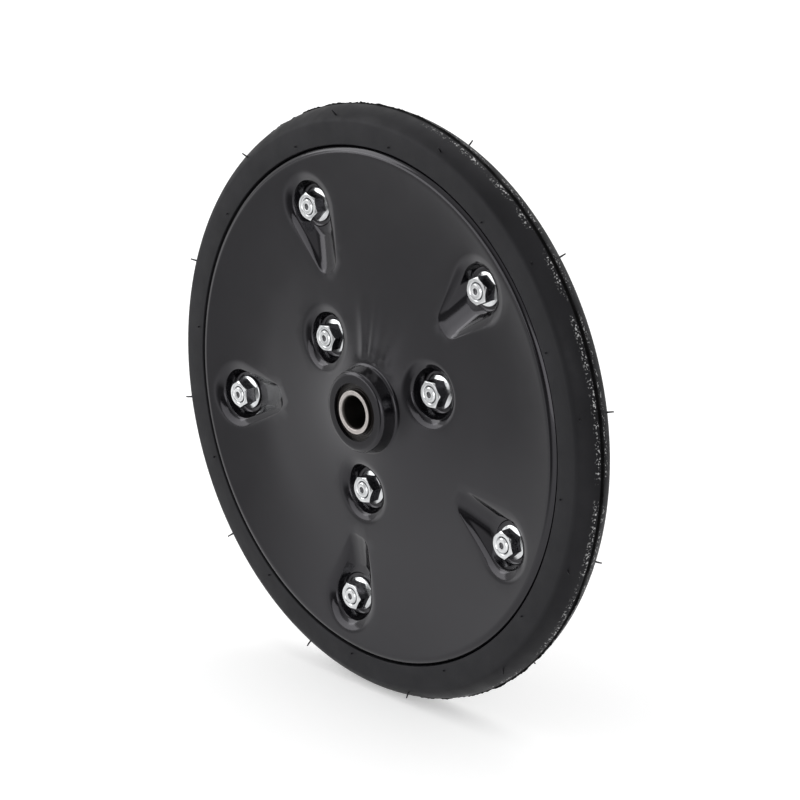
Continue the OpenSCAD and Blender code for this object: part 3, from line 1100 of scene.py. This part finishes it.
def rubberFinish():
    look = rubberLook
    material, nodes, links, shader = startFinish("tyre_rubber", roughness=0.6)
    place = nodes.new("ShaderNodeTexCoord").outputs["Object"]
    split = nodes.new("ShaderNodeSeparateXYZ")
    links.new(place, split.inputs[0])
    cloud = addNoise(nodes, links, place, look["clouds"], 4.0)
    base = addRamp(nodes, links, cloud, cloudStops(look))
    across = addMath(nodes, links, "ABSOLUTE", split.outputs["Y"])
    flank = addRange(nodes, links, across, *look["flank"], 0.0, look["flankShare"])
    base = addMix(nodes, links, flank, base, look["flankColor"])
    joint = addRange(nodes, links, across, *look["joint"], 1.0, 0.0)
    base = addMix(nodes, links, joint, base, grey(look["jointColor"]))

    def spots(scale, low, high):
        return addRange(nodes, links, addNoise(nodes, links, place, scale, 2.0), low, high, 0.0, 1.0)

    # pale flecks in clumps beside the mould's joint
    fleck = addRange(nodes, links, across, *look["fleckIn"], 0.0, 1.0)
    limits = (
        addRange(nodes, links, across, *look["fleckOut"], 1.0, 0.0),
        spots(*look["clumps"]),
        spots(*look["specks"]),
        addRange(nodes, links, split.outputs["X"], *look["fleckSide"], 0.0, 1.0))
    for limit in limits:
        fleck = addMath(nodes, links, "MULTIPLY", fleck, limit)
    base = addMix(nodes, links, fleck, base, grey(look["fleckColor"]))
    links.new(base, shader.inputs["Base Color"])
    gloss = addRange(nodes, links, across, *look["flank"], *look["gloss"])
    jointGloss = addRange(nodes, links, joint, 0.0, 1.0, 1.0, look["jointGloss"])
    gloss = addMath(nodes, links, "MULTIPLY", gloss, jointGloss)
    links.new(gloss, shader.inputs["Specular IOR Level"])
    shader.inputs["Specular Tint"].default_value = look["tint"]
    wear = addNoise(nodes, links, place, look["wear"], 4.0)
    rough = addRange(nodes, links, wear, *look["wearSpan"], *look["rough"])
    links.new(rough, shader.inputs["Roughness"])
    grain = addNoise(nodes, links, place, look["grain"], 3.0)
    addBump(nodes, links, shader, grain, *look["grainBump"])
    return material


def paintFinish():
    look = paintLook
    material, nodes, links, shader = startFinish("black_paint", roughness=0.1)
    shader.inputs["Specular IOR Level"].default_value = look["gloss"]
    shader.inputs["Specular Tint"].default_value = look["tint"]
    place = nodes.new("ShaderNodeTexCoord").outputs["Object"]
    cloud = addNoise(nodes, links, place, look["clouds"], 3.0)
    links.new(addRamp(nodes, links, cloud, cloudStops(look)), shader.inputs["Base Color"])
    wear = addNoise(nodes, links, place, look["wear"], 4.0)
    rough = addRange(nodes, links, wear, *look["wearSpan"], *look["rough"])
    links.new(rough, shader.inputs["Roughness"])
    peel = addNoise(nodes, links, place, look["peel"], 2.0)
    addBump(nodes, links, shader, peel, *look["peelBump"])
    return material


def mottledFinish(name, look, color, rough, clouds, grain):
    # one colour that darkens in clouds, over a fine grain
    material, nodes, links, shader = startFinish(name, rough, look["metallic"])
    place = nodes.new("ShaderNodeTexCoord").outputs["Object"]
    cloud = addNoise(nodes, links, place, clouds, look["cloudDetail"])
    darker = tuple(look["darkShare"] * c for c in color)
    base = addRamp(nodes, links, cloud, list(zip(look["cloudSpan"], (darker, color))))
    links.new(base, shader.inputs["Base Color"])
    roughness = [rough * share for share in look["roughShares"]]
    spread = addRange(nodes, links, cloud, *look["roughSpan"], *roughness)
    links.new(spread, shader.inputs["Roughness"])
    fine = addNoise(nodes, links, place, grain, look["grainDetail"])
    addBump(nodes, links, shader, fine, *look["grainBump"])
    return material


def zincFinish():
    # bright plating, painted dark as shade where the mesh marks the bolt's recess
    material = mottledFinish(
        "zinc_plate", metalLook, color=(0.68, 0.69, 0.7), rough=0.17, clouds=420.0, grain=2600.0)
    # the colour of the painted shade in the recess
    recessShadeColor = (0.1, 0.1, 0.105)
    nodes, links = material.node_tree.nodes, material.node_tree.links
    baseColor = nodes["Principled BSDF"].inputs["Base Color"]
    recessShade = addNode(nodes, "ShaderNodeAttribute", attribute_name="recessShade").outputs["Fac"]
    plating = baseColor.links[0].from_socket
    links.new(addMix(nodes, links, recessShade, plating, recessShadeColor), baseColor)
    return material


def boreFinish():
    # bright ground face; the bore and the ring's outer edge beside the seal are painted dark as shade, and
    # the bore is dull
    look = boreLook
    material = mottledFinish(
        "bore_ring_steel", metalLook, color=(0.6, 0.56, 0.54), rough=0.24, clouds=300.0, grain=2200.0)
    nodes, links = material.node_tree.nodes, material.node_tree.links
    shader = nodes["Principled BSDF"]
    split = nodes.new("ShaderNodeSeparateXYZ")
    links.new(nodes.new("ShaderNodeTexCoord").outputs["Object"], split.inputs[0])
    squares = [addMath(nodes, links, "POWER", split.outputs[axis], 2.0) for axis in ("X", "Z")]
    radius = addMath(nodes, links, "SQRT", addMath(nodes, links, "ADD", *squares))
    inner = addRange(nodes, links, radius, *look["innerEdge"], 0.0, 1.0)
    outer = addRange(nodes, links, radius, *look["outerEdge"], 1.0, 0.0)
    face = addMath(nodes, links, "MULTIPLY", inner, outer)
    bright = shader.inputs["Base Color"].links[0].from_socket
    links.new(addMix(nodes, links, face, look["boreShadeColor"], bright), shader.inputs["Base Color"])
    links.new(addRange(nodes, links, face, 0.0, 1.0, *look["rough"]), shader.inputs["Roughness"])
    return material


rubber = rubberFinish()
paint = paintFinish()
zinc = zincFinish()
ringSteel = mottledFinish(
    "bearing_steel", metalLook, color=(0.74, 0.7, 0.67), rough=0.24, clouds=300.0, grain=2200.0)
boreSteel = boreFinish()
# the spacers are painted near black, as shade for the inside of the bore
spacerShadeSteel = mottledFinish(
    "spacer_steel", metalLook, color=(0.05, 0.048, 0.046), rough=0.45, clouds=260.0, grain=1800.0)
sealRubber = mottledFinish(
    "seal_rubber", dullLook, color=(0.012, 0.009, 0.008), rough=0.45, clouds=500.0, grain=3000.0)
cagePlastic = mottledFinish(
    "cage_plastic", dullLook, color=(0.34, 0.28, 0.18), rough=0.45, clouds=400.0, grain=2400.0)
print("finishes made")

makeTyre(rubber)
print("tyre made")
makeHalves(paint)
print("pressed halves made")
makeFasteners(zinc)
print("nuts and bolts made")
makeBearingFaces(sealRubber, boreSteel)
print("bearing faces made")

# CAD nodes that keep their shape get their finish
ballCount = 8
ballNodes = [f"{side}_ball_{i + 1}" for side in ("front", "rear") for i in range(ballCount)]
innerFinishes = [
    (ringSteel, ["front_outer_ring", "rear_outer_ring"] + ballNodes),
    (sealRubber, ["front_inner_seal", "rear_inner_seal"]),
    (cagePlastic, ["front_cage", "rear_cage"]),
    (spacerShadeSteel, ["inner_spacer", "outer_spacer"]),
]
for material, nodes in innerFinishes:
    for node in nodes:
        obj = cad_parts[node]
        obj.data.materials.clear()
        obj.data.materials.append(material)
print("inner parts dressed")

# stage and light
studio = {
    "floorSize": 12.0,
    "floorColor": 0.85,
    "floorRough": 0.9,
    "floorGlow": 0.33,
    "darkSide": (0.0, -0.98, 0.17),     # the unlit side of the room
    "darkEdge": (0.82, 0.97),           # where the room turns dark, as a cosine from that side
    "bright": 0.62,
    "shown": 0.85,                      # the same, as gloss and glass show it
    "dark": 0.12,
    "near": (0.2, 0.45),                # the floor is evenly pale near the wheel
    "floorLightTop": 1.2,                     # the ramp of painted floor light holds shares of this
    "floorLightShares": [                     # painted light and shade on the floor: azimuth from the wheel, zero in front, and the share of light
        (-180, 0.6), (-120, 0.45), (-90, 0.4), (-76, 0.75), (-66, 1.15), (-58, 0.92),
        (-52, 0.52), (-45, 0.5), (-38, 0.62), (-28, 0.95), (-20, 0.5), (-10, 0.2),
        (12, 0.2), (22, 0.9), (34, 1.15), (78, 1.15), (92, 0.4), (180, 0.5)],
}
lamps = {
    "sky": {"place": (-0.5, 0.5, 2.3), "size": (2.2, 2.2), "power": 20},
    "left": {"place": (-2.0, -1.2, 1.4), "size": (1.5, 1.5), "power": 17},
    "front": {"place": (-0.98, -1.74, 0.36), "size": (2.0, 0.75), "power": 9.0},
    "right": {"place": (1.6, -1.6, 0.5), "size": (1.5, 1.2), "power": 11.0},
}


def seenRays(nodes, links):
    # one for rays that show the floor: from the camera, off gloss or through glass
    path = nodes.new("ShaderNodeLightPath").outputs
    seen = addMath(nodes, links, "MAXIMUM", path["Is Camera Ray"], path["Is Glossy Ray"])
    return addMath(nodes, links, "MAXIMUM", seen, path["Is Transmission Ray"])


def makeWorld():
    # a pale room, darker on one side
    world = bpy.data.worlds.new("studio")
    bpy.context.scene.world = world
    world.use_nodes = True
    nodes, links = world.node_tree.nodes, world.node_tree.links
    facing = addNode(nodes, "ShaderNodeVectorMath", operation="DOT_PRODUCT")
    links.new(nodes.new("ShaderNodeTexCoord").outputs["Generated"], facing.inputs[0])
    facing.inputs[1].default_value = studio["darkSide"]
    level, shown = (
        addRange(nodes, links, facing.outputs["Value"], *studio["darkEdge"], studio[key], studio["dark"])
        for key in ("bright", "shown"))
    level = addMix(nodes, links, seenRays(nodes, links), level, shown)
    camera = nodes.new("ShaderNodeLightPath").outputs["Is Camera Ray"]
    level = addMath(nodes, links, "MAXIMUM", level, camera)
    sky = nodes["Background"]
    sky.inputs["Color"].default_value = (1, 1, 1, 1)
    links.new(level, sky.inputs["Strength"])


def makeFloor():
    startFresh()
    bpy.ops.mesh.primitive_plane_add(size=studio["floorSize"], location=(0, 0, cadBox[0][2]))
    floor = bpy.context.object
    floor.name = "studio_floor"
    material, nodes, links, shader = startFinish("studio_floor", studio["floorRough"])
    place = nodes.new("ShaderNodeTexCoord").outputs["Object"]
    split = nodes.new("ShaderNodeSeparateXYZ")
    links.new(place, split.inputs[0])
    # painted light and shade on the floor by azimuth from the wheel, seen in the wheel's gloss and in the
    # light the floor throws back; camera rays see it evenly white
    front = addMath(nodes, links, "MULTIPLY", split.outputs["Y"], -1.0)
    azimuth = addMath(nodes, links, "ARCTAN2", split.outputs["X"], front)
    turn = addRange(nodes, links, azimuth, -math.pi, math.pi, 0.0, 1.0)
    top = studio["floorLightTop"]
    stops = [((a + 180) / 360, grey(floorLight / top)) for a, floorLight in studio["floorLightShares"]]
    floorLight = addMath(nodes, links, "MULTIPLY", addRamp(nodes, links, turn, stops), top)
    away = addNode(nodes, "ShaderNodeVectorMath", operation="LENGTH")
    links.new(place, away.inputs[0])
    far = addRange(nodes, links, away.outputs["Value"], *studio["near"], 0.0, 1.0)
    floorLight = addMix(nodes, links, far, grey(1.0), floorLight)
    camera = nodes.new("ShaderNodeLightPath").outputs["Is Camera Ray"]
    share = addMath(nodes, links, "MAXIMUM", floorLight, camera)
    color = addMath(nodes, links, "MULTIPLY", share, studio["floorColor"])
    links.new(color, shader.inputs["Base Color"])
    shader.inputs["Specular IOR Level"].default_value = 0.0
    shader.inputs["Emission Color"].default_value = (1, 1, 1, 1)
    glow = addMath(nodes, links, "MULTIPLY", seenRays(nodes, links), studio["floorGlow"])
    links.new(addMath(nodes, links, "MULTIPLY", glow, share), shader.inputs["Emission Strength"])
    floor.data.materials.append(material)


def makeLamps():
    for name, lamp in lamps.items():
        startFresh()
        bpy.ops.object.light_add(type="AREA", location=lamp["place"])
        light = bpy.context.object
        light.name = name + "_lamp"
        light.data.shape = "RECTANGLE"
        light.data.size, light.data.size_y = lamp["size"]
        light.data.energy = lamp["power"]
        light.rotation_euler = (-Vector(lamp["place"])).to_track_quat("-Z", "Y").to_euler()


bpy.context.scene.view_settings.view_transform = "Standard"
makeWorld()
makeFloor()
makeLamps()
print("studio made")
